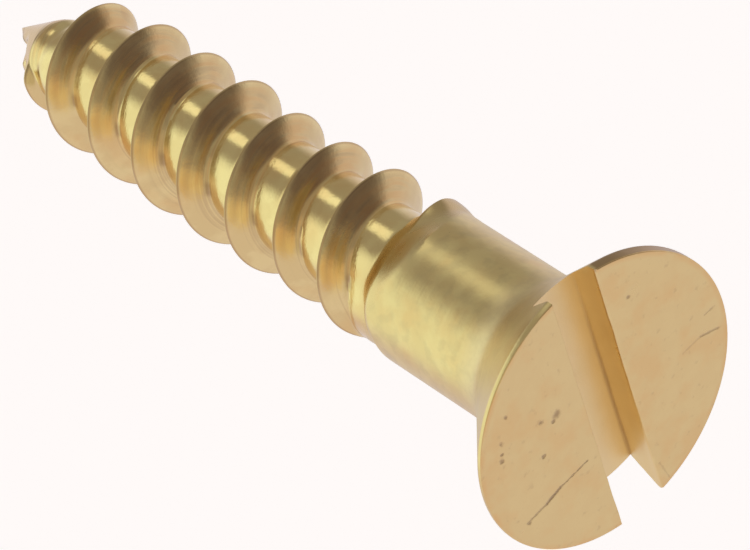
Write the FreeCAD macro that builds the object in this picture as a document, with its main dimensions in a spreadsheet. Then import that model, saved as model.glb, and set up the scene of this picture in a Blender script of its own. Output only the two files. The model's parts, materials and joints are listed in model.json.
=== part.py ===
"""A slotted countersunk wood screw, head up and point down.

The axis is Z. The origin is the centre of the head's flat top face and the slot runs along Y.
Lengths are in millimetres and angles in degrees.
"""
import FreeCAD, Part
import os
import Sketcher
from FreeCAD import Placement, Rotation, Vector

SIZES = [
    ("screw_length", 20.0, "head's top face to the tip"),
    ("shank_dia", 3.5, "plain shank, and the crest of the thread at its top"),
    ("shank_end", 5.0, "where the crest starts to taper, below the top face"),
    ("crest_dia", 3.42, "crest of the thread at its foot, where the point starts"),
    ("core_dia", 2.4, "root of the thread"),
    ("thread_pitch", 1.6, "single start, right hand"),
    ("crest_flat", 0.06, "width of the crest"),
    ("flank_angle", 30.0, "each flank, from square to the axis"),
    ("head_dia", 6.8, "rim of the head"),
    ("rim_land", 0.16, "straight rim above the head's cone"),
    ("cone_angle", 41.0, "head's cone, from the axis"),
    ("neck_radius", 1.2, "fillet where the cone meets the shank"),
    ("slot_width", 1.2, "driver slot, right across the head"),
    ("slot_depth", 0.8, "driver slot, below the top face"),
    ("slot_offset", 0.05, "slot's middle from the axis, along X"),
    ("tip_angle", 35.0, "cone of the point, from the axis"),
    ("tip_radius", 2.4, "fillet where the point meets the thread's blank"),
    ("fade_depth", 6.4, "where the groove starts to fade, below the top face"),
    ("fade_side", 155.0, "side of the screw where the fade starts, from X"),
    ("fade_turns", 0.6, "turns over which the groove fades out"),
    ("fade_rise", 0.62, "how far the groove's floor moves out in those turns"),
    ("full_turns", 7.0, "turns of the groove at full depth"),
    ("tip_turns", 1.25, "turns of the groove on the point"),
    ("tip_rise", 1.0, "how far the groove's floor moves out in those turns"),
    ("tip_overlap", 0.02, "turns by which the point's cut runs on into the full groove"),
    ("cutter_margin", 0.04, "how far the groove's cutter reaches past the crest"),
    ("tip_margin", 0.35, "the same on the point"),
]


def add_sizes(doc):
    """The sheet of driving sizes: a value, its name and what it means in each row."""
    sheet = doc.addObject("Spreadsheet::Sheet", "Sizes")
    for row, (alias, value, meaning) in enumerate(SIZES, start=1):
        sheet.set(f"A{row}", alias)
        sheet.set(f"B{row}", str(value))
        sheet.set(f"C{row}", meaning)
        sheet.setAlias(f"B{row}", alias)
    doc.recompute()


def origin_plane(body, role):
    return next(plane for plane in body.Origin.OriginFeatures if plane.Role == role)


def add_outline(body, name, role, corners):
    """A closed outline of straight lines, whose corners are pairs of expressions."""
    sketch = body.newObject("Sketcher::SketchObject", name)
    sketch.AttachmentSupport = [(origin_plane(body, role), "")]
    sketch.MapMode = "FlatFace"
    points = [Vector(sketch.evalExpression(x), sketch.evalExpression(y), 0) for x, y in corners]
    count = len(points)
    for line in range(count):
        sketch.addGeometry(Part.LineSegment(points[line], points[(line + 1) % count]), False)
    for line, (corner, point) in enumerate(zip(corners, points)):
        sketch.addConstraint(Sketcher.Constraint("Coincident", line - 1 if line else count - 1, 2, line, 1))
        for kind, value, expression in zip(("DistanceX", "DistanceY"), point, corner):
            index = sketch.addConstraint(Sketcher.Constraint(kind, line, 1, value))
            sketch.setExpression(f"Constraints[{index}]", expression)
    return sketch


def add_blank(body):
    """The turned blank: head, shank and point, with the neck and the point rounded in."""
    radius = "Sizes.shank_dia / 2"
    foot_radius = "Sizes.crest_dia / 2"
    cone_length = "(Sizes.head_dia - Sizes.shank_dia) / 2 / tan(Sizes.cone_angle)"
    outline = add_outline(body, "BlankOutline", "XZ_Plane", [
        ("0", "0"),
        ("Sizes.head_dia / 2", "0"),
        ("Sizes.head_dia / 2", "-Sizes.rim_land"),
        (radius, f"-Sizes.rim_land - {cone_length}"),
        (radius, "-Sizes.shank_end"),
        (foot_radius, f"-Sizes.screw_length + {foot_radius} / tan(Sizes.tip_angle)"),
        ("0", "-Sizes.screw_length"),
    ])
    blank = body.newObject("PartDesign::Revolution", "Blank")
    blank.Profile = outline
    blank.ReferenceAxis = (outline, ["V_Axis"])
    blank.Angle = 360
    body.Document.recompute()
    point = add_ring_fillet(body, "PointRounding", blank, foot_radius, "Sizes.tip_radius")
    add_ring_fillet(body, "NeckRounding", point, radius, "Sizes.neck_radius")


def add_ring_fillet(body, name, base, ring_radius, fillet_radius):
    """A fillet on the highest ring edge of the given radius."""
    wanted = base.evalExpression(ring_radius)
    rings = [
        (edge.CenterOfMass.z, f"Edge{number}")
        for number, edge in enumerate(base.Shape.Edges, start=1)
        if isinstance(edge.Curve, Part.Circle) and abs(edge.Curve.Radius - wanted) < 1e-6
    ]
    fillet = body.newObject("PartDesign::Fillet", name)
    fillet.Base = (base, [max(rings)[1]])
    fillet.setExpression("Radius", fillet_radius)
    body.Document.recompute()
    return fillet


def add_groove(body, name, start_turn, turns, floor, rise, margin):
    """One helical cut of the thread's groove, climbing toward the head from start_turn.

    start_turn counts turns down from where the groove starts to fade, floor is the radius of the
    groove's floor there, and rise is how far that floor moves out over the cut's turns.
    """
    height = f"(-Sizes.fade_depth - ({start_turn}) * Sizes.thread_pitch)"
    depth = f"((Sizes.shank_dia - Sizes.core_dia) / 2 + {margin})"
    full_depth_half = "(Sizes.thread_pitch - Sizes.crest_flat) / 2"
    top_half = f"({full_depth_half} + {margin} * tan(Sizes.flank_angle))"
    floor_half = f"({top_half} - {depth} * tan(Sizes.flank_angle))"
    outline = add_outline(body, name + "Outline", "XZ_Plane", [
        (floor, f"{height} - {floor_half}"),
        (f"{floor} + {depth}", f"{height} - {top_half}"),
        (f"{floor} + {depth}", f"{height} + {top_half}"),
        (floor, f"{height} + {floor_half}"),
    ])
    side = outline.evalExpression(f"Sizes.fade_side - 360 * ({start_turn})")
    outline.AttachmentOffset = Placement(Vector(), Rotation(Vector(0, 1, 0), side))
    groove = body.newObject("PartDesign::SubtractiveHelix", name)
    groove.Profile = outline
    groove.ReferenceAxis = (outline, ["V_Axis"])
    groove.Mode = "pitch-turns-angle"
    groove.setExpression("Pitch", "Sizes.thread_pitch")
    groove.setExpression("Turns", turns)
    groove.setExpression("Angle", f"atan({rise} / ({turns} * Sizes.thread_pitch))")
    body.Document.recompute()


def add_thread(body):
    """The groove in three cuts: at full depth, fading into the shank, and widening up the point."""
    core = "Sizes.core_dia / 2"
    add_groove(body, "FullGroove", "Sizes.full_turns", "Sizes.full_turns", core, "0",
               "Sizes.cutter_margin")
    add_groove(body, "FadingGroove", "0", "Sizes.fade_turns", core, "Sizes.fade_rise",
               "Sizes.cutter_margin")
    tip_cut_turns = "(Sizes.tip_turns + Sizes.tip_overlap)"
    add_groove(body, "PointGroove", "Sizes.full_turns + Sizes.tip_turns", tip_cut_turns,
               f"{core} - Sizes.tip_rise", f"Sizes.tip_rise * {tip_cut_turns} / Sizes.tip_turns",
               "Sizes.tip_margin")


def add_slot(body):
    """The driver slot, cut down from the top face and open at both sides of the head."""
    left = "Sizes.slot_offset - Sizes.slot_width / 2"
    right = "Sizes.slot_offset + Sizes.slot_width / 2"
    outline = add_outline(body, "SlotOutline", "XY_Plane", [
        (left, "-Sizes.head_dia"),
        (right, "-Sizes.head_dia"),
        (right, "Sizes.head_dia"),
        (left, "Sizes.head_dia"),
    ])
    slot = body.newObject("PartDesign::Pocket", "DriverSlot")
    slot.Profile = outline
    slot.setExpression("Length", "Sizes.slot_depth")
    body.Document.recompute()


def make_screw(doc):
    body = doc.addObject("PartDesign::Body", "WoodScrew")
    body.Label = "wood_screw"
    body.Placement = Placement()
    for add_stage in (add_blank, add_thread, add_slot):
        volume_before = body.Shape.Volume if body.Tip else 0.0
        add_stage(body)
        if abs(body.Shape.Volume - volume_before) < 1e-3:
            raise RuntimeError(f"{add_stage.__name__} changed nothing")
    return body


def check(doc, bodies):
    for item in doc.Objects:
        if "Invalid" in item.State or "Error" in item.State:
            raise RuntimeError(f"{item.Name} failed: {item.State}")
    for body in bodies:
        if body.Shape.isNull() or not body.Shape.isValid() or len(body.Shape.Solids) != 1:
            raise RuntimeError(f"{body.Label} is not one valid solid")


def main():
    doc = FreeCAD.newDocument("WoodScrewDocument")
    add_sizes(doc)
    bodies = [make_screw(doc)]
    check(doc, bodies)
    os.makedirs("parts", exist_ok=True)
    for body in bodies:
        body.Shape.exportStep(f"parts/{body.Label}.step")


main()
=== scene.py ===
"""The looks of a slotted countersunk brass wood screw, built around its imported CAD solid.

The screw's axis is Z, its head's flat face is at z = 0 and its point is at the bottom. Shapes are
worked out in millimetres and scaled to metres at the end. A side is an angle round the axis, from X
towards Y. Angles are in degrees unless a name says turns.
"""
import json
import math
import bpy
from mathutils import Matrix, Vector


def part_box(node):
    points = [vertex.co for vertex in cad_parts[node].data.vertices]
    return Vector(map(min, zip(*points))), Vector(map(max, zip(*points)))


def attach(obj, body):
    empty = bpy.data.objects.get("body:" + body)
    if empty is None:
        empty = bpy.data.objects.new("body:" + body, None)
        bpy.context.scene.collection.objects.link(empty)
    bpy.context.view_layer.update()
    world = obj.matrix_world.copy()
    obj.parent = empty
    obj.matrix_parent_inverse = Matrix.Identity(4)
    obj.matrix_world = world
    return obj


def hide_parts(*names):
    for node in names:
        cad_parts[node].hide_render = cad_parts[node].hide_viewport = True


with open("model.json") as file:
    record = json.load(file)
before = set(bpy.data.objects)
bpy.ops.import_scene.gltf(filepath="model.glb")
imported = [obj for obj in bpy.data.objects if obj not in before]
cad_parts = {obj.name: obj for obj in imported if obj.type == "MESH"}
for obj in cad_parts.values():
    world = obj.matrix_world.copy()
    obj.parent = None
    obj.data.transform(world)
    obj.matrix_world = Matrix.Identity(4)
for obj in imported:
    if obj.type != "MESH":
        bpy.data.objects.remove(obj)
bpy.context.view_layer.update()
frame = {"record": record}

from types import SimpleNamespace

import bmesh
import bpy
from mathutils import Matrix, Vector, noise

MM = 0.001
FULL_TURN = 2.0 * math.pi
RIGHT_ANGLE = math.radians(90.0)

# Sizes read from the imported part, in millimetres
cad_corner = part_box("wood_screw")[1]
mounts = {mount["name"]: mount for mount in frame["record"]["mounts"]}
HEAD_RADIUS = cad_corner.x / MM
SHANK_RADIUS = mounts["shank"]["dims"]["r_mm"]

# Thread: right hand, single start. Its crest passes CREST_SIDE at CREST_HEIGHT, and its turns are
# counted upwards from there.
PITCH = 1.6
FLANK_ANGLE = 30.0
CREST_SIDE = 119.5
CREST_HEIGHT = -16.96

# The crest stands out unevenly, as (turn, radius), and is blunt where it ends, as (turn, rounding)
CREST_RADII = (
    (-0.92, 1.50), (-0.84, 1.77), (0.2, 1.72), (0.8, 1.77), (1.8, 1.77), (2.2, 1.80), (3.2, 1.79),
    (3.7, 1.71), (4.5, 1.76), (5.2, 1.69), (5.7, 1.81), (6.3, 1.78), (6.9, SHANK_RADIUS),
)
CREST_ROUNDINGS = ((6.8, 0.03), (6.95, 0.45))

# Groove: its floor as (turn, radius), and the fillets between the floor and the flanks
CORE_RADIUS = 1.2
CORE_RADII = ((-1.15, 1.72), (-0.95, 1.48), (-0.65, 1.25), (-0.3, CORE_RADIUS))
HEAD_SIDE_FILLET = 0.10
POINT_SIDE_FILLET = 0.30

# Run-out: from FADE_SIDE at FADE_HEIGHT the groove's floor rises to FADED_RADIUS, outside the shank,
# and from ROUNDING_FROM up to ROUNDING_TO the groove's edge grows rounder
FADE_TURNS = 0.3
FADE_SIDE = 150.0
FADE_HEIGHT = -6.424
FADED_RADIUS = 1.90
EDGE_ROUNDING = 0.12
ROUNDING_FROM = -6.9
ROUNDING_TO = -6.2
SHARPEST_EDGE = 0.001

# A seam runs round the shank where the thread ends. Below it the groove's wall slopes in, by a share
# that changes along the thread: (turn, share)
SEAM_TOP = -5.08
SEAM_DIP = 0.9
SEAM_SIDE = 98.0
WALL_SLOPE = 0.46
WALL_EASE = 0.15
WALL_FOOT_EASE = 0.30
WALL_SHARES = ((6.79, 0.0), (6.90, 1.0), (6.97, 1.0), (7.18, 0.0))

# Local swellings and dents: (side, height, half width round the axis, half length along it, rise)
BUMPS = (
    (36.0, -6.13, 42.0, 0.55, 0.11),
    (188.0, -19.15, 78.0, 0.42, -0.28),
)

# Point: a bullet shape that leans off the axis, by its (height, distance)
POINT_LENGTH = 2.9
TIP_HEIGHT = -19.87
POINT_POWER = 1.3
LEAN_SIDE = 209.0
LEANS = ((TIP_HEIGHT, 0.105), (-19.0, 0.15), (-18.1, 0.16), (-16.9, 0.0))

# Head: a cone on a filleted neck, with a straight rim that is wider on one side
RIM_LAND = 0.11
RIM_LAND_SWING = 0.17
RIM_WIDE_SIDE = 45.0
RIM_CORNER = 0.15
RIM_EDGE = 0.03
CONE_FOOT = -2.06
NECK_TOP = -0.9
NECK_BLEND = 0.125

# Driver slot: along Y, with worn lips, and a right wall that leans. Its cutter reaches past the head at
# both ends, has a margin beside and above the lips, and is uneven by SLOT_WEAR.
SLOT_LEFT = -0.52
SLOT_RIGHT = 0.67
SLOT_LEAN = 0.03
SLOT_DEPTH = 0.8
SLOT_RIGHT_LIP = 0.10
SLOT_LEFT_LIP = 0.03
LIP_RISE = 0.006
SLOT_WEAR = 0.012
SLOT_WEAR_WAVES = (2.0, 1.5, 2.0)
CUTTER_REACH = 1.2 * HEAD_RADIUS
CUTTER_MARGIN = 0.4

# Mesh density
COLUMNS = 128
ROWS_PER_TURN = 40
CREST_CROWDING = 0.15
SPARE_TURNS = 2
JOIN_HEIGHT = -3.4
NECK_STEPS = 36
ARC_STEPS = 8
CUTTER_STEPS = 60
MERGE_DISTANCE = 1e-5
SHARP_ANGLE = 26.0

# Camera: where it stands as seen from its aim, in degrees and millimetres
CAMERA_AZIMUTH = 116.35
CAMERA_ELEVATION = 40.03
CAMERA_ROLL = 123.14
CAMERA_DISTANCE = 112.7
CAMERA_AIM = Vector((-1.916, 2.919, -4.126))
LENS_LENGTH = 264.0
SENSOR_WIDTH = 36.0


def smooth_step(amount):
    """0 up to 0, 1 from 1, eased between."""
    amount = min(max(amount, 0.0), 1.0)
    return amount * amount * (3.0 - 2.0 * amount)


def soft_max(first, second, width):
    """The larger of the two, rounded over where they differ by less than width."""
    overlap = max(width - abs(first - second), 0.0)
    return max(first, second) + overlap * overlap / (4.0 * width)


def soft_min(first, second, width):
    """The smaller of the two, rounded over in the same way."""
    return -soft_max(-first, -second, width)


def follow(points, here):
    """The value here, eased between the (place, value) points on either side."""
    if here <= points[0][0]:
        return points[0][1]
    for (place, value), (next_place, next_value) in zip(points, points[1:]):
        if here < next_place:
            return value + (next_value - value) * smooth_step((here - place) / (next_place - place))
    return points[-1][1]


def point_share(height):
    """How much of the full radius is left at this height: 0 at the tip, 1 where the point starts."""
    up = min(max((height - TIP_HEIGHT) / POINT_LENGTH, 0.0), 1.0)
    return 1.0 - (1.0 - up) ** POINT_POWER


def bumps(side_turns, height):
    """How far the local bumps and dents move the surface out here."""
    total = 0.0
    for side, middle, span, reach, rise in BUMPS:
        turn = side_turns - side / 360.0
        across = (turn - round(turn)) * 360.0 / span
        along = (height - middle) / reach
        total += rise * smooth_step(1.0 - math.hypot(across, along))
    return total


def blank_radius(side_turns, height, crest_turn):
    """The blank that the thread is cut in, which sets how far each crest stands out."""
    return follow(CREST_RADII, crest_turn) * point_share(height) + bumps(side_turns, height)


def groove_radius(side_turns, height):
    """The floor of the groove, which rises into the shank at the top and into the tip at the bottom."""
    groove_turns = (height - FADE_HEIGHT) / PITCH
    nearest = round(groove_turns - side_turns + FADE_SIDE / 360.0)
    fade = smooth_step((side_turns - FADE_SIDE / 360.0 + nearest) / FADE_TURNS)
    core = follow(CORE_RADII, (height - CREST_HEIGHT) / PITCH)
    return (core + (FADED_RADIUS - core) * fade) * point_share(height)


def seam_height(side_turns):
    """Where the seam at the end of the thread lies on this side."""
    return SEAM_TOP - SEAM_DIP * (1.0 - math.cos(FULL_TURN * side_turns - math.radians(SEAM_SIDE)))


def wall_depth(side_turns, height, crest_turn, blank):
    """How far the wall below the seam has sloped in here, which is never past the core."""
    below_seam = seam_height(side_turns) - height
    slope = WALL_SLOPE * soft_max(below_seam, 0.0, WALL_EASE) * follow(WALL_SHARES, crest_turn)
    return max(soft_min(slope, blank - CORE_RADIUS, WALL_FOOT_EASE), 0.0)


def thread_radius(side_turns, height, from_crest):
    """The threaded part's radius; from_crest is the distance up the axis from the nearest crest."""
    crest_turn = (height - from_crest - CREST_HEIGHT) / PITCH
    blank = blank_radius(side_turns, height, crest_turn)
    blank -= wall_depth(side_turns, height, crest_turn, blank)
    rounding = follow(CREST_ROUNDINGS, crest_turn)
    flank = math.hypot(from_crest, rounding) - rounding
    ridge = blank - flank / math.tan(math.radians(FLANK_ANGLE))
    fillet = HEAD_SIDE_FILLET if from_crest > 0.0 else POINT_SIDE_FILLET
    cut = soft_max(ridge, groove_radius(side_turns, height), fillet)
    edge = EDGE_ROUNDING * smooth_step((height - ROUNDING_FROM) / (ROUNDING_TO - ROUNDING_FROM))
    return max(soft_min(cut, blank, max(edge, SHARPEST_EDGE)), 0.0)


def surface_point(side_turns, height, from_crest):
    """A point of the threaded part, moved sideways by the lean of the screw's point."""
    radius = thread_radius(side_turns, height, from_crest)
    angle = FULL_TURN * side_turns
    lean = follow(LEANS, height)
    lean_angle = math.radians(LEAN_SIDE)
    return Vector((
        radius * math.cos(angle) + lean * math.cos(lean_angle),
        radius * math.sin(angle) + lean * math.sin(lean_angle),
        height,
    ))


def row_offset(row):
    """Where a row of the grid lies between two crests, in turns from the crest; rows crowd at the crest."""
    step = row / ROWS_PER_TURN - 0.5
    return step * (CREST_CROWDING + (1.0 - CREST_CROWDING) * 2.0 * abs(step))


def thread_grid():
    """Points of the threaded part: a line up each side, whose rows follow the thread from side to side."""
    first_turn = math.floor((TIP_HEIGHT - CREST_HEIGHT) / PITCH) - SPARE_TURNS
    last_turn = math.ceil((JOIN_HEIGHT - CREST_HEIGHT) / PITCH) + SPARE_TURNS
    rows = (last_turn - first_turn) * ROWS_PER_TURN + 1
    grid = []
    for column in range(COLUMNS):
        side_turns = column / COLUMNS
        line = []
        for row in range(rows):
            turn, part_row = divmod(row, ROWS_PER_TURN)
            from_crest = row_offset(part_row) * PITCH
            crest = CREST_HEIGHT + PITCH * (first_turn + turn + side_turns - CREST_SIDE / 360.0)
            height = min(max(crest + from_crest, TIP_HEIGHT), JOIN_HEIGHT)
            line.append(surface_point(side_turns, height, from_crest))
        grid.append(line)
    return grid


def add_thread(mesh):
    """The threaded part, from the tip up to the join with the head, where it is open."""
    lines = [[mesh.verts.new(point) for point in line] for line in thread_grid()]
    for column, line in enumerate(lines):
        after = lines[(column + 1) % COLUMNS]
        # Once round, each row meets the row that is one turn of the thread further up
        climb = ROWS_PER_TURN if column == COLUMNS - 1 else 0
        for row in range(len(line) - 1 - climb):
            corners = (line[row], after[row + climb], after[row + climb + 1], line[row + 1])
            # Rows past the tip or the join are held at its height, and get no faces
            heights = {round(corner.co.z, 6) for corner in corners}
            if len(heights) > 1:
                mesh.faces.new(corners)


def rounded_outline(corners):
    """A line through the corners (x, y, rounding radius), with each rounded corner as an arc."""
    outline = []
    for index, (x, y, radius) in enumerate(corners):
        here = Vector((x, y))
        if not radius:
            outline.append(here)
            continue
        before = (Vector(corners[index - 1][:2]) - here).normalized()
        after = (Vector(corners[(index + 1) % len(corners)][:2]) - here).normalized()
        half = before.angle(after) / 2.0
        centre = here + (before + after).normalized() * radius / math.sin(half)
        start = here + before * radius / math.tan(half) - centre
        turn = start.angle_signed(here + after * radius / math.tan(half) - centre)
        for step in range(ARC_STEPS + 1):
            arm = start.copy()
            arm.rotate(Matrix.Rotation(-turn * step / ARC_STEPS, 2))
            outline.append(centre + arm)
    return outline


def head_profile(side):
    """Outline from the shank up to the flat face on one side of the head, as (radius, height) points."""
    nearness = max(math.cos(math.radians(side - RIM_WIDE_SIDE)), 0.0)
    land = RIM_LAND + RIM_LAND_SWING * nearness * nearness
    spread = (HEAD_RADIUS - SHANK_RADIUS) / (-land - CONE_FOOT)
    profile = [(SHANK_RADIUS, JOIN_HEIGHT)]
    for step in range(1, NECK_STEPS):
        height = JOIN_HEIGHT + (NECK_TOP - JOIN_HEIGHT) * step / NECK_STEPS
        cone_rise = spread * (height - CONE_FOOT)
        radius = SHANK_RADIUS + NECK_BLEND * math.log(1.0 + math.exp(cone_rise / NECK_BLEND))
        profile.append((radius, height))
    rim = rounded_outline([
        (SHANK_RADIUS + spread * (NECK_TOP - CONE_FOOT), NECK_TOP, 0.0),
        (HEAD_RADIUS, -land, RIM_CORNER),
        (HEAD_RADIUS, 0.0, RIM_EDGE),
        (HEAD_RADIUS - 2.0 * RIM_EDGE, 0.0, 0.0),
    ])
    return profile + [tuple(point) for point in rim]


def add_head(mesh):
    """Neck, cone and rim, turned about the axis, and the flat face as one polygon."""
    lines = []
    for column in range(COLUMNS):
        angle = FULL_TURN * column / COLUMNS
        line = []
        for radius, height in head_profile(math.degrees(angle)):
            line.append(mesh.verts.new((radius * math.cos(angle), radius * math.sin(angle), height)))
        lines.append(line)
    for column, line in enumerate(lines):
        after = lines[(column + 1) % COLUMNS]
        for low in range(len(line) - 1):
            mesh.faces.new((line[low], after[low], after[low + 1], line[low + 1]))
    mesh.faces.new([line[-1] for line in lines])


def slot_section():
    """The slot's outline across it, as (x, z) points, with margins beside and above the lips."""
    return rounded_outline([
        (SLOT_LEFT, -SLOT_DEPTH, 0.0),
        (SLOT_RIGHT - SLOT_LEAN, -SLOT_DEPTH, 0.0),
        (SLOT_RIGHT, LIP_RISE, SLOT_RIGHT_LIP),
        (SLOT_RIGHT + CUTTER_MARGIN, LIP_RISE, 0.0),
        (SLOT_RIGHT + CUTTER_MARGIN, CUTTER_MARGIN, 0.0),
        (SLOT_LEFT - CUTTER_MARGIN, CUTTER_MARGIN, 0.0),
        (SLOT_LEFT - CUTTER_MARGIN, LIP_RISE, 0.0),
        (SLOT_LEFT, LIP_RISE, SLOT_LEFT_LIP),
    ])


def slot_cutter():
    """The tool that cuts the driver slot: its section swept along Y, a little worn all over."""
    waves_x, waves_y, waves_z = SLOT_WEAR_WAVES
    section = slot_section()
    mesh = bmesh.new()
    rings = []
    for step in range(CUTTER_STEPS + 1):
        y = CUTTER_REACH * (2.0 * step / CUTTER_STEPS - 1.0)
        ring = []
        for x, z in section:
            wear = SLOT_WEAR * noise.noise(Vector((x * waves_x, y * waves_y, z * waves_z)))
            lift = wear / 2.0 if z < 0.0 else 0.0
            ring.append(mesh.verts.new((x + wear, y, z + lift)))
        rings.append(ring)
    count = len(section)
    for near, far in zip(rings, rings[1:]):
        for index in range(count):
            after = (index + 1) % count
            mesh.faces.new((near[index], far[index], far[after], near[after]))
    mesh.faces.new(rings[0])
    mesh.faces.new(list(reversed(rings[-1])))
    bmesh.ops.recalc_face_normals(mesh, faces=mesh.faces)
    return mesh_object("slot_cutter", mesh)


def mesh_object(name, mesh):
    """A new object from a bmesh, which is freed."""
    data = bpy.data.meshes.new(name)
    mesh.to_mesh(data)
    mesh.free()
    made = bpy.data.objects.new(name, data)
    bpy.context.scene.collection.objects.link(made)
    return made


def cut(target, cutter):
    """Cuts the cutter out of the target for good, and removes the cutter."""
    modifier = target.modifiers.new("cut", "BOOLEAN")
    modifier.object = cutter
    modifier.operation = "DIFFERENCE"
    modifier.solver = "MANIFOLD"
    evaluated = target.evaluated_get(bpy.context.evaluated_depsgraph_get())
    result = bpy.data.meshes.new_from_object(evaluated)
    target.modifiers.clear()
    target.data = result
    bpy.data.objects.remove(cutter)


def clean_up(data):
    """Removes slivers from a mesh and shades it smooth, apart from its sharp edges."""
    mesh = bmesh.new()
    mesh.from_mesh(data)
    bmesh.ops.dissolve_degenerate(mesh, edges=mesh.edges, dist=MERGE_DISTANCE)
    for face in mesh.faces:
        face.smooth = True
    for edge in mesh.edges:
        edge.smooth = edge.calc_face_angle(0.0) < math.radians(SHARP_ANGLE)
    mesh.to_mesh(data)
    mesh.free()


def make_screw():
    """The whole screw as one closed mesh, in metres."""
    mesh = bmesh.new()
    add_thread(mesh)
    add_head(mesh)
    bmesh.ops.remove_doubles(mesh, verts=mesh.verts, dist=MERGE_DISTANCE)
    bmesh.ops.recalc_face_normals(mesh, faces=mesh.faces)
    made = mesh_object("brass_wood_screw", mesh)
    cut(made, slot_cutter())
    clean_up(made.data)
    made.data.transform(Matrix.Scale(MM, 4))
    return made


def camera_turn():
    """The camera's rotation: its azimuth from X, elevation above the head's face, and roll."""
    return (
        Matrix.Rotation(math.radians(CAMERA_AZIMUTH) + RIGHT_ANGLE, 3, "Z")
        @ Matrix.Rotation(RIGHT_ANGLE - math.radians(CAMERA_ELEVATION), 3, "X")
        @ Matrix.Rotation(math.radians(CAMERA_ROLL), 3, "Z")
    )


def add_camera():
    """A long lens that looks down at the head, with the point away from it, rolled as the view is."""
    turn = camera_turn()
    stand = CAMERA_AIM + turn @ Vector((0.0, 0.0, CAMERA_DISTANCE))
    lens = bpy.data.cameras.new("camera")
    lens.lens = LENS_LENGTH
    lens.sensor_width = SENSOR_WIDTH
    lens.clip_start = MM
    camera = bpy.data.objects.new("camera", lens)
    camera.matrix_world = Matrix.Translation(stand * MM) @ turn.to_4x4()
    bpy.context.scene.collection.objects.link(camera)
    bpy.context.scene.camera = camera


class Recipe:
    """Builds a node tree from short calls, which all return an output socket."""

    def __init__(self, tree):
        self.nodes = tree.nodes
        self.links = tree.links

    def put(self, value, socket):
        """Links a socket, or sets a plain number, vector or colour."""
        if isinstance(value, bpy.types.NodeSocket):
            self.links.new(value, socket)
        else:
            socket.default_value = value

    def math(self, operation, *values):
        node = self.nodes.new("ShaderNodeMath")
        node.operation = operation
        for value, socket in zip(values, node.inputs):
            self.put(value, socket)
        return node.outputs["Value"]

    def add(self, *values):
        total = values[0]
        for value in values[1:]:
            total = self.math("ADD", total, value)
        return total

    def times(self, *values):
        total = values[0]
        for value in values[1:]:
            total = self.math("MULTIPLY", total, value)
        return total

    def add_weighted(self, start, *pairs):
        """The start plus each (value, weight) pair's product."""
        return self.add(start, *(self.times(value, weight) for value, weight in pairs))

    def inverse(self, share):
        return self.math("SUBTRACT", 1.0, share)

    def length(self, across, along):
        """The distance from zero, kept a little above it so that it can be divided by."""
        squares = self.add(self.times(across, across), self.times(along, along))
        return self.math("MAXIMUM", self.math("SQRT", squares), 0.01)

    def vector(self, x, y, z):
        node = self.nodes.new("ShaderNodeCombineXYZ")
        for value, socket in zip((x, y, z), node.inputs):
            self.put(value, socket)
        return node.outputs["Vector"]

    def vector_math(self, operation, first, second, output="Vector"):
        node = self.nodes.new("ShaderNodeVectorMath")
        node.operation = operation
        self.put(first, node.inputs[0])
        self.put(second, node.inputs["Scale"] if operation == "SCALE" else node.inputs[1])
        return node.outputs[output]

    def ease(self, value, low, high):
        """0 at low, 1 at high, eased between; low may be the larger."""
        node = self.nodes.new("ShaderNodeMapRange")
        node.interpolation_type = "SMOOTHSTEP"
        backwards = low > high
        self.put(value, node.inputs["Value"])
        node.inputs["From Min"].default_value = min(low, high)
        node.inputs["From Max"].default_value = max(low, high)
        node.inputs["To Min"].default_value = 1.0 if backwards else 0.0
        node.inputs["To Max"].default_value = 0.0 if backwards else 1.0
        return node.outputs["Result"]

    def between(self, value, rise, fall):
        """1 between the (from, to) pairs rise and fall, eased to 0 across each of them."""
        return self.times(self.ease(value, *rise), self.ease(value, *reversed(fall)))

    def noise(self, place, scale, detail, fourth=None):
        """Noise between 0 and 1, mostly 0.3 to 0.7; it is 4D where a fourth coordinate is given."""
        node = self.nodes.new("ShaderNodeTexNoise")
        self.put(place, node.inputs["Vector"])
        node.inputs["Scale"].default_value = scale
        node.inputs["Detail"].default_value = detail
        if fourth is not None:
            node.noise_dimensions = "4D"
            self.put(fourth, node.inputs["W"])
        return node.outputs["Fac"]

    def blend(self, share, below, above):
        """The colour below where the share is 0, and the one above where it is 1."""
        node = self.nodes.new("ShaderNodeMix")
        node.data_type = "RGBA"
        self.put(share, node.inputs["Factor"])
        self.put(below, node.inputs["A"])
        self.put(above, node.inputs["B"])
        return node.outputs["Result"]


# Brass colours, linear
BRASS = (0.80, 0.62, 0.30, 1.0)
YELLOW_BRASS = (0.86, 0.69, 0.34, 1.0)
ORANGE_BRASS = (0.80, 0.50, 0.21, 1.0)
DULL_BRASS = (0.58, 0.46, 0.25, 1.0)
# Brown: tarnish on the neck and run-out, and painted shade on the flanks, run-out and slot corner
BROWN_TARNISH_AND_SHADE = (0.42, 0.27, 0.15, 1.0)
# A paler yellow painted across the slot as painted light
SLOT_PAINTED_LIGHT = (0.90, 0.70, 0.35, 1.0)
# A paler brass painted on the cone as a painted reflection
PALE_PAINTED_REFLECTION = (0.94, 0.78, 0.48, 1.0)
DIRT = (0.36, 0.24, 0.15, 1.0)

SATIN_ROUGHNESS = 0.31

# The full thread's finish ends at the first of these heights, and the run-out's begins at the second
RUNOUT_RISE = (-6.6, -6.1)

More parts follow.
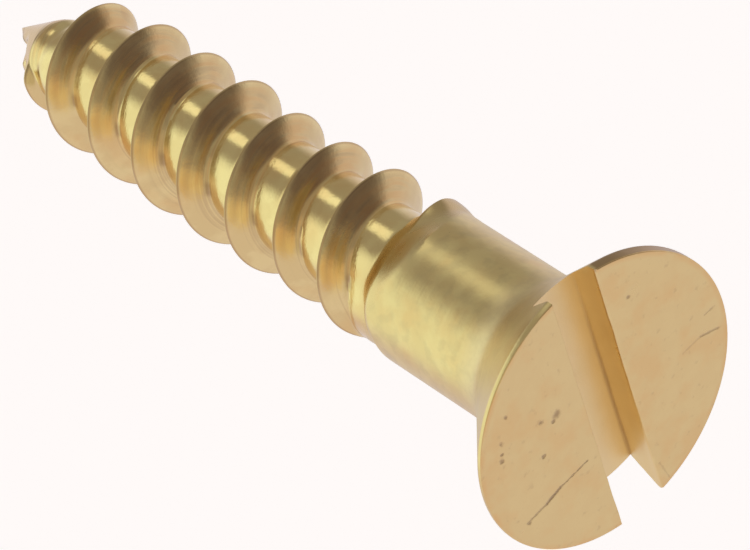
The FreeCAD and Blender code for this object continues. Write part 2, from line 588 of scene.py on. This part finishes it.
# Marks on the flat face, in millimetres: pits (x, y, radius), and scratches (from x, y, to x, y,
# half width, strength). A pit's edge and floor are in its radii, a scratch's edge in half widths.
MARK_RAGGEDNESS = 0.16
PIT_STRENGTH = 0.6
PIT_EDGE = 1.2
PIT_FLOOR = 0.1
SCRATCH_EDGE = 1.4
PITS = (
    (-1.21, 0.70, 0.13), (-1.33, 0.60, 0.07), (-1.61, 0.81, 0.08), (-2.34, 1.62, 0.06),
    (-2.65, 1.08, 0.06), (-2.77, 0.68, 0.08), (-2.70, 0.83, 0.05), (-1.81, -0.05, 0.06),
    (1.24, 2.07, 0.06), (-2.61, -1.38, 0.06),
)
SCRATCHES = (
    (-0.85, -1.04, -1.66, -1.14, 0.022, 0.45), (-1.66, -1.14, -2.07, -1.26, 0.045, 0.75),
    (-2.07, -1.26, -2.66, -1.34, 0.025, 0.40), (2.62, -0.34, 2.10, -0.40, 0.030, 0.20),
    (3.12, -0.50, 2.62, -0.34, 0.030, 0.40), (2.86, 0.10, 3.16, 0.12, 0.025, 0.25),
    (0.78, -2.60, 0.92, -3.20, 0.025, 0.20),
)


def thread_phase(recipe, z, side_x, side_y):
    """Cosine and sine of the angle round the thread's profile: 0 at the crest, 90 on the head side."""
    start = CREST_HEIGHT * 360.0 / PITCH - CREST_SIDE
    rise = recipe.math("RADIANS", recipe.add(recipe.times(z, 360.0 / PITCH), -start))
    up = recipe.math("COSINE", rise)
    across = recipe.math("SINE", rise)
    cosine = recipe.add(recipe.times(up, side_x), recipe.times(across, side_y))
    sine = recipe.add(recipe.times(across, side_x), recipe.times(up, side_y, -1.0))
    return cosine, sine


def add_coordinates(recipe, at):
    """Where a point is, in millimetres: its place, its side, and its phase on the thread's profile."""
    metres = recipe.nodes.new("ShaderNodeTexCoord").outputs["Object"]
    at.place = recipe.vector_math("SCALE", metres, 1.0 / MM)
    split = recipe.nodes.new("ShaderNodeSeparateXYZ")
    recipe.put(at.place, split.inputs["Vector"])
    at.x, at.y, at.z = split.outputs
    at.radius = recipe.length(at.x, at.y)
    at.side_x = recipe.math("DIVIDE", at.x, at.radius)
    at.side_y = recipe.math("DIVIDE", at.y, at.radius)
    at.cosine, at.sine = thread_phase(recipe, at.z, at.side_x, at.side_y)


def add_regions(recipe, at):
    """Which parts of the screw a point belongs to, each from 0 to 1."""
    seam_angle = math.radians(SEAM_SIDE)
    below_seam = recipe.add(
        recipe.times(at.side_x, SEAM_DIP * math.cos(seam_angle)),
        recipe.times(at.side_y, SEAM_DIP * math.sin(seam_angle)),
        SEAM_TOP - SEAM_DIP,
        recipe.times(at.z, -1.0),
    )
    at.on_thread = recipe.ease(below_seam, -0.04, 0.14)
    at.off_thread = recipe.inverse(at.on_thread)
    at.full_thread = recipe.ease(at.z, *reversed(RUNOUT_RISE))
    at.runout = recipe.times(at.on_thread, recipe.ease(at.z, *RUNOUT_RISE))
    at.head_side = recipe.ease(at.sine, 0.1, 0.6)
    at.head_flank = recipe.times(at.full_thread, at.head_side, recipe.ease(at.cosine, -0.15, 0.05))
    at.outer_flank = recipe.times(at.head_flank, recipe.ease(at.cosine, -0.3, 0.3))
    at.on_cone = recipe.between(at.z, (-2.8, -2.2), (-0.3, -0.1))
    at.on_face = recipe.ease(at.z, -0.03, -0.01)
    at.in_slot = recipe.times(
        recipe.between(at.x, (SLOT_LEFT - 0.05, SLOT_LEFT - 0.01), (SLOT_RIGHT + 0.01, SLOT_RIGHT + 0.10)),
        recipe.between(at.z, (-SLOT_DEPTH - 0.06, -SLOT_DEPTH - 0.03), (-0.06, -0.02)),
    )


def thread_noise(recipe, at, across, side_x, side_y, climb):
    """Noise drawn out along the thread; the numbers say how fast it changes each way."""
    profile = recipe.vector(
        recipe.times(at.cosine, across),
        recipe.times(at.sine, across),
        recipe.times(at.side_x, side_x),
    )
    drift = recipe.add_weighted(0.0, (at.side_y, side_y), (at.z, climb))
    return recipe.noise(profile, scale=1.0, detail=1.0, fourth=drift)


def face_marks(recipe, at):
    """How far each point of the flat face lies in a pit or scratch, from 0 to 1."""
    flat = recipe.vector(at.x, at.y, 0.0)
    ragged = recipe.add(recipe.noise(at.place, scale=9.0, detail=3.0), -0.5)
    ragged = recipe.times(ragged, MARK_RAGGEDNESS)
    marks = 0.0
    for pit_x, pit_y, size in PITS:
        away = recipe.vector_math("DISTANCE", flat, (pit_x, pit_y, 0.0), "Value")
        pit = recipe.ease(recipe.add(away, ragged), size * PIT_EDGE, size * PIT_FLOOR)
        marks = recipe.math("MAXIMUM", marks, recipe.times(pit, PIT_STRENGTH))
    for from_x, from_y, to_x, to_y, width, strength in SCRATCHES:
        run = Vector((to_x - from_x, to_y - from_y, 0.0))
        offset = recipe.vector_math("SUBTRACT", flat, (from_x, from_y, 0.0))
        along = recipe.vector_math("DOT_PRODUCT", offset, run, "Value")
        share = recipe.times(along, 1.0 / run.length_squared)
        share = recipe.math("MINIMUM", recipe.math("MAXIMUM", share, 0.0), 1.0)
        nearest = recipe.vector_math("SCALE", run, share)
        away = recipe.vector_math("DISTANCE", offset, nearest, "Value")
        scratch = recipe.ease(recipe.add(away, recipe.times(ragged, 0.5)), width * SCRATCH_EDGE, 0.0)
        marks = recipe.math("MAXIMUM", marks, recipe.times(scratch, strength))
    return marks


def add_patterns(recipe, at):
    """Noise and marks that the colour, roughness and bump share."""
    # Streaks that the die left along the thread, and turning marks round the shank and cone
    at.streaks = thread_noise(recipe, at, across=5.0, side_x=1.3, side_y=1.3, climb=0.35)
    rings_place = recipe.vector(at.side_x, at.side_y, recipe.times(at.z, 22.0))
    at.rings = recipe.noise(rings_place, scale=1.0, detail=2.0)
    at.blotches = recipe.noise(at.place, scale=1.7, detail=4.0)
    at.flecks = recipe.noise(at.place, scale=7.0, detail=3.0)

    # Dirt in the flat face's marks, and specks of it
    speckle = recipe.ease(recipe.noise(at.place, scale=5.0, detail=4.0), 0.60, 0.75)
    specks = recipe.times(at.on_face, speckle, 0.16)
    marks = recipe.times(at.on_face, face_marks(recipe, at))
    at.dirt = recipe.math("MAXIMUM", marks, specks)


def metal_layers(recipe, at):
    """Patches of yellower, warmer and duller brass."""
    warm_place = recipe.vector_math("ADD", at.place, (7.0, 3.0, 5.0))
    warm = recipe.noise(warm_place, scale=1.1, detail=3.0)
    mottle = recipe.noise(at.place, scale=3.2, detail=3.0)
    less_on_face = recipe.add_weighted(1.0, (at.on_face, -0.7))
    on_shank = recipe.times(at.off_thread, recipe.ease(at.z, -0.6, -1.2))
    return [
        (YELLOW_BRASS, 1.0, recipe.times(recipe.ease(at.blotches, 0.42, 0.62), less_on_face)),
        (ORANGE_BRASS, 0.35, recipe.ease(warm, 0.46, 0.70)),
        (DULL_BRASS, 0.30, recipe.times(on_shank, recipe.ease(mottle, 0.44, 0.68))),
    ]


def flank_layers(recipe, at):
    """Streaks and bands on the flanks that face the head, partly real die streaks and partly painted
    reflections, and painted shade at their feet and near their crests.
    """
    # Orange and brown streaks on the +Y side of the head flanks: partly real die streaks, partly painted
    # reflection
    streaks_and_painted_reflection = recipe.times(at.head_flank, recipe.ease(at.side_y, 0.25, 0.75))
    bands = thread_noise(recipe, at, across=6.0, side_x=0.6, side_y=0.0, climb=0.5)
    # Brown bands near the root on the -X side: painted reflection of the next crest, partly real streaks
    near_root = recipe.times(
        at.head_flank,
        recipe.ease(at.cosine, 0.90, 0.55),
        recipe.ease(at.side_x, 0.20, -0.15),
    )
    # Painted shade: a dark notch where the head flank meets the root, on the sides from about 150 to 170
    # degrees
    root_corner = recipe.times(
        at.full_thread,
        at.head_side,
        recipe.between(at.cosine, (-0.40, -0.10), (0.15, 0.40)),
    )
    painted_shade_side = recipe.times(
        recipe.between(at.side_y, (0.16, 0.28), (0.38, 0.52)),
        recipe.ease(at.side_x, 0.0, -0.2),
    )
    # Painted shade on the head flanks near their crests, on the -X, +Y side
    lower_side = recipe.times(recipe.ease(at.side_x, 0.0, -0.5), recipe.ease(at.side_y, 0.10, 0.40))
    return [
        (ORANGE_BRASS, 0.60, recipe.times(streaks_and_painted_reflection, recipe.ease(at.streaks, 0.38, 0.64))),
        (BROWN_TARNISH_AND_SHADE, 0.32, recipe.times(streaks_and_painted_reflection, recipe.ease(at.streaks, 0.56, 0.32))),
        (BROWN_TARNISH_AND_SHADE, 0.25, recipe.times(near_root, recipe.ease(bands, 0.50, 0.36))),
        (BROWN_TARNISH_AND_SHADE, 0.60, recipe.times(root_corner, painted_shade_side)),
        (BROWN_TARNISH_AND_SHADE, 0.35, recipe.times(at.head_flank, lower_side, recipe.ease(at.cosine, 0.70, 0.93))),
        # Painted shade on the outer head flanks on the +X side
        (BROWN_TARNISH_AND_SHADE, 0.20, recipe.times(at.outer_flank, recipe.ease(at.side_x, 0.2, 0.7))),
    ]


def crest_and_runout_layers(recipe, at):
    """A brown line along the crests, and brown where the thread runs out: flecks of tarnish, and painted
    shade on the +X side, over the swelling.
    """
    crest_line = recipe.times(at.full_thread, recipe.ease(at.cosine, 0.982, 0.996))
    # Flecks of tarnish, and painted shade on the +X side
    brown_end = recipe.add_weighted(0.0, (at.flecks, 0.10), (recipe.ease(at.side_x, 0.30, 0.65), 0.35))
    return [
        (BROWN_TARNISH_AND_SHADE, 0.50, crest_line),
        (BROWN_TARNISH_AND_SHADE, 1.0, recipe.times(at.runout, brown_end)),
    ]


def head_layers(recipe, at):
    """A cone painted paler as a painted reflection, a tarnished neck, and a rim that is brown on one side
    and worn on top.
    """
    neck = recipe.between(at.z, (-3.1, -2.2), (-1.8, -1.0))
    rim = recipe.ease(at.radius, HEAD_RADIUS - 0.12, HEAD_RADIUS - 0.02)
    rim_top = recipe.ease(at.radius, HEAD_RADIUS - 0.18, HEAD_RADIUS - 0.02)
    wide_side = recipe.ease(recipe.add(at.x, at.y), 2.4, 3.6)
    return [
        (PALE_PAINTED_REFLECTION, 0.50, at.on_cone),
        (BROWN_TARNISH_AND_SHADE, 0.10, recipe.times(neck, recipe.ease(at.flecks, 0.35, 0.75))),
        (BROWN_TARNISH_AND_SHADE, 0.85, recipe.times(rim, wide_side, recipe.ease(at.z, -0.01, -0.03))),
        (ORANGE_BRASS, 0.60, recipe.times(rim_top, at.on_face, recipe.ease(at.blotches, 0.35, 0.6))),
    ]


def slot_layers(recipe, at):
    """Painted light that grows across the slot towards its right wall, and painted shade as a brown line in
    its right corner.
    """
    corner = recipe.length(recipe.add(at.x, SLOT_LEAN - SLOT_RIGHT), recipe.add(at.z, SLOT_DEPTH))
    # Painted shade in the corner between the slot's floor and right wall, stronger towards -Y
    corner_painted_shade = recipe.times(recipe.ease(corner, 0.10, 0.02), recipe.ease(at.y, 3.5, -0.5))
    return [
        (SLOT_PAINTED_LIGHT, 0.90, recipe.times(at.in_slot, recipe.ease(at.x, -0.45, 0.55))),
        (BROWN_TARNISH_AND_SHADE, 0.35, recipe.times(at.in_slot, corner_painted_shade)),
    ]


def brass_colour(recipe, at):
    """Plain brass under layers of (colour, strength, where), from the broadest to the finest."""
    layers = (
        metal_layers(recipe, at)
        + flank_layers(recipe, at)
        + crest_and_runout_layers(recipe, at)
        + head_layers(recipe, at)
        + slot_layers(recipe, at)
        + [(DIRT, 1.0, at.dirt)]
    )
    colour = BRASS
    for paint, strength, where in layers:
        colour = recipe.blend(recipe.times(where, strength), colour, paint)
    return colour


def brass_roughness(recipe, at):
    """Satin shank and face, with a shinier thread and duller cone, run-out and dirt."""
    return recipe.add_weighted(
        SATIN_ROUGHNESS,
        (at.on_thread, -0.17),
        (at.in_slot, -0.02),
        (at.outer_flank, 0.07),
        (at.on_cone, 0.10),
        (at.runout, 0.13),
        (recipe.add(at.blotches, -0.5), 0.18),
        (at.dirt, 0.30),
    )


def brass_relief(recipe, at):
    """Heights too fine for the mesh, in millimetres: waviness, grain, streaks, rings, and pits."""
    return recipe.add_weighted(
        0.0,
        (recipe.add(at.blotches, -0.5), 0.010),
        (recipe.noise(at.place, scale=18.0, detail=2.0), 0.0012),
        (recipe.times(at.streaks, at.on_thread), 0.0006),
        (recipe.times(at.rings, at.off_thread), 0.0022),
        (at.dirt, -0.020),
    )


def brass():
    """Worn, slightly tarnished brass: shiny thread, satin shank and head, pits and scratches, with painted
    shade and painted reflections on the thread, cone and slot.
    """
    material = bpy.data.materials.new("brass")
    material.use_nodes = True
    recipe = Recipe(material.node_tree)
    at = SimpleNamespace()
    add_coordinates(recipe, at)
    add_regions(recipe, at)
    add_patterns(recipe, at)
    bump = recipe.nodes.new("ShaderNodeBump")
    bump.inputs["Distance"].default_value = MM
    recipe.put(brass_relief(recipe, at), bump.inputs["Height"])
    shader = recipe.nodes["Principled BSDF"]
    shader.inputs["Metallic"].default_value = 1.0
    recipe.put(brass_colour(recipe, at), shader.inputs["Base Color"])
    recipe.put(brass_roughness(recipe, at), shader.inputs["Roughness"])
    recipe.put(bump.outputs["Normal"], shader.inputs["Normal"])
    return material


# The studio: a pale floor far below, and soft lights around the screw, as the brass reflects them.
# Each light is (azimuth from the viewer towards the right, elevation above the table, inner radius,
# outer radius, colour), in degrees, and lies over the ones before it.
WHITE = (1.0, 1.0, 1.0, 1.0)
PAPER = (0.9, 0.9, 0.9, 1.0)
PAPER_ROUGHNESS = 0.9
PAPER_GLOW = 0.5
FLOOR_HEIGHT = -60.0
FLOOR_REACH = 1500.0
TABLE_LOOK_DOWN = 32.7
CEILING = (0.38, 0.36, 0.32, 1.0)
SOFT_LIGHTS = {
    "table": (0.0, -90.0, 80.0, 98.0, (0.78, 0.72, 0.76, 1.0)),
    "left window": (-100.0, -10.0, 22.0, 44.0, (1.02, 1.10, 0.96, 1.0)),
    "lamp": (-137.0, 50.0, 4.0, 12.0, (1.10, 1.12, 0.95, 1.0)),
    "right wall": (135.0, -5.0, 30.0, 52.0, (0.78, 0.74, 0.80, 1.0)),
    "viewer's glow": (-15.0, 5.0, 15.0, 38.0, (0.62, 0.56, 0.46, 1.0)),
    "gold card": (23.0, -10.0, 7.0, 17.0, (0.82, 0.66, 0.40, 1.0)),
    "right shade": (70.0, 22.0, 12.0, 40.0, (0.16, 0.13, 0.13, 1.0)),
}


def add_floor():
    """A wide sheet of pale paper that glows a little, so that it shows plain."""
    mesh = bmesh.new()
    bmesh.ops.create_grid(mesh, x_segments=1, y_segments=1, size=FLOOR_REACH)
    bmesh.ops.translate(mesh, verts=mesh.verts, vec=(0.0, 0.0, FLOOR_HEIGHT))
    floor = mesh_object("floor", mesh)
    floor.data.transform(Matrix.Scale(MM, 4))
    material = bpy.data.materials.new("floor_paper")
    material.use_nodes = True
    shader = material.node_tree.nodes["Principled BSDF"]
    shader.inputs["Base Color"].default_value = PAPER
    shader.inputs["Roughness"].default_value = PAPER_ROUGHNESS
    shader.inputs["Emission Color"].default_value = WHITE
    shader.inputs["Emission Strength"].default_value = PAPER_GLOW
    floor.visible_glossy = False
    floor.data.materials.append(material)


def studio_direction(azimuth, elevation):
    """A direction in the screw's frame; azimuth 0 is towards the viewer and 90 to the right."""
    turn = camera_turn() @ Matrix.Rotation(math.radians(TABLE_LOOK_DOWN), 3, "X")
    level = math.cos(math.radians(elevation))
    across = level * math.sin(math.radians(azimuth))
    towards = level * math.cos(math.radians(azimuth))
    return turn @ Vector((across, math.sin(math.radians(elevation)), towards))


def add_world():
    """Ceiling all round, with the soft lights over it; the camera itself sees plain pale paper."""
    world = bpy.data.worlds.new("studio")
    world.use_nodes = True
    recipe = Recipe(world.node_tree)
    ray = recipe.nodes.new("ShaderNodeTexCoord").outputs["Generated"]
    colour = CEILING
    for azimuth, elevation, inner, outer, light in SOFT_LIGHTS.values():
        facing = recipe.vector_math("DOT_PRODUCT", ray, studio_direction(azimuth, elevation), "Value")
        lit = recipe.ease(facing, math.cos(math.radians(outer)), math.cos(math.radians(inner)))
        colour = recipe.blend(lit, colour, light)
    seen_by_camera = recipe.nodes.new("ShaderNodeLightPath").outputs["Is Camera Ray"]
    shown = recipe.blend(seen_by_camera, colour, PAPER)
    recipe.put(shown, recipe.nodes["Background"].inputs["Color"])
    bpy.context.scene.world = world


screw = make_screw()
screw.data.materials.clear()
screw.data.materials.append(brass())
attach(screw, "root")
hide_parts("wood_screw")
add_floor()
add_world()
add_camera()
bpy.context.scene.view_settings.view_transform = "Standard"
